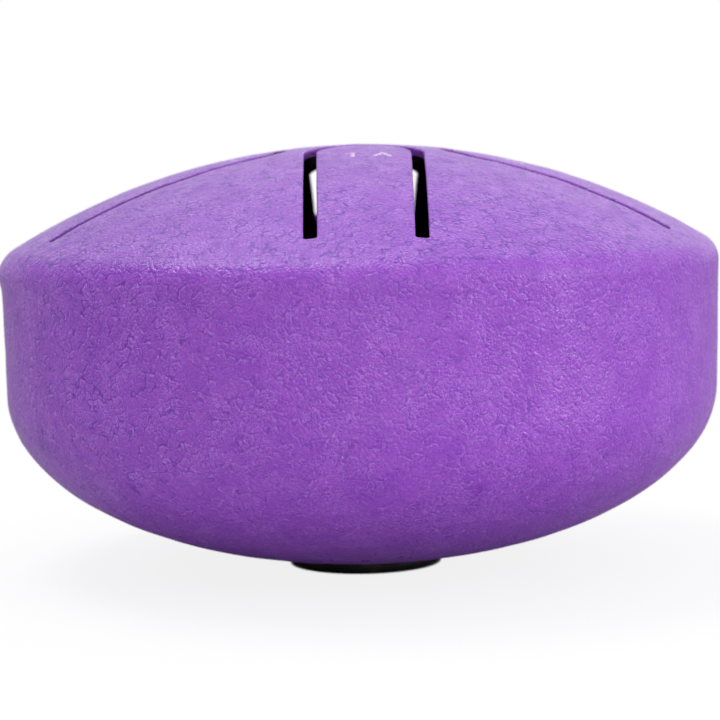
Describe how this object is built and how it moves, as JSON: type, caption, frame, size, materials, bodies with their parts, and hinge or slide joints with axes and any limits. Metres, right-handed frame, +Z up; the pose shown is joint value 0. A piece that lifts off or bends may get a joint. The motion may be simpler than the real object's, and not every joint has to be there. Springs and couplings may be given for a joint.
{
  "type": "steel tongue drum",
  "caption": "Small round steel tongue drum with a domed top cut into tongues by U-shaped slots, a deep bowl underneath and one rubber ring foot.",
  "frame": {"origin": "centre of the rubber foot's underside, where the drum meets the table", "axes": "+Z up along the drum's axis; the longest tongue (tongue_1) lies towards -Y, the player's side; +X is the player's right"},
  "size_m": [0.1408, 0.1408, 0.0827],
  "materials": {
    "purple_powder_coat": "fine crinkle powder coat over pressed steel, satin gloss",
    "black_rubber": "moulded, semi-matt"
  },
  "bodies": {
    "shell": {"upper_shell": "purple_powder_coat", "lower_shell": "purple_powder_coat", "weld_seam": "purple_powder_coat", "foot_ring": "black_rubber"},
    "tongue_1": {"tongue_1": "purple_powder_coat"},
    "tongue_2": {"tongue_2": "purple_powder_coat"},
    "tongue_3": {"tongue_3": "purple_powder_coat"},
    "tongue_4": {"tongue_4": "purple_powder_coat"},
    "tongue_5": {"tongue_5": "purple_powder_coat"},
    "tongue_6": {"tongue_6": "purple_powder_coat"}
  },
  "joints": [
    {"name": "tongue_1_flex", "type": "hinge", "parent": "shell", "child": "tongue_1", "pos_m": [0.00125, -0.0608, 0.06658], "axis": [0.9999, 0, -0.011], "range_deg": [-0.6, 0.6], "stiffness_Nm_per_rad": 1},
    {"name": "tongue_2_flex", "type": "hinge", "parent": "shell", "child": "tongue_2", "pos_m": [-0.06068, -0.01784, 0.06525], "axis": [0.3418, -0.9391, 0.0354], "range_deg": [-0.6, 0.6], "stiffness_Nm_per_rad": 1},
    {"name": "tongue_3_flex", "type": "hinge", "parent": "shell", "child": "tongue_3", "pos_m": [0.06111, -0.01709, 0.06513], "axis": [0.3417, 0.9388, -0.043], "range_deg": [-0.6, 0.6], "stiffness_Nm_per_rad": 1},
    {"name": "tongue_4_flex", "type": "hinge", "parent": "shell", "child": "tongue_4", "pos_m": [-0.04648, 0.03938, 0.06652], "axis": [-0.5873, -0.8084, 0.0398], "range_deg": [-0.6, 0.6], "stiffness_Nm_per_rad": 1},
    {"name": "tongue_5_flex", "type": "hinge", "parent": "shell", "child": "tongue_5", "pos_m": [0.04761, 0.03838, 0.0664], "axis": [-0.5876, 0.8087, -0.027], "range_deg": [-0.6, 0.6], "stiffness_Nm_per_rad": 1},
    {"name": "tongue_6_flex", "type": "hinge", "parent": "shell", "child": "tongue_6", "pos_m": [0.00125, 0.061, 0.06647], "axis": [-0.9999, 0, 0.011], "range_deg": [-0.6, 0.6], "stiffness_Nm_per_rad": 1}
  ]
}
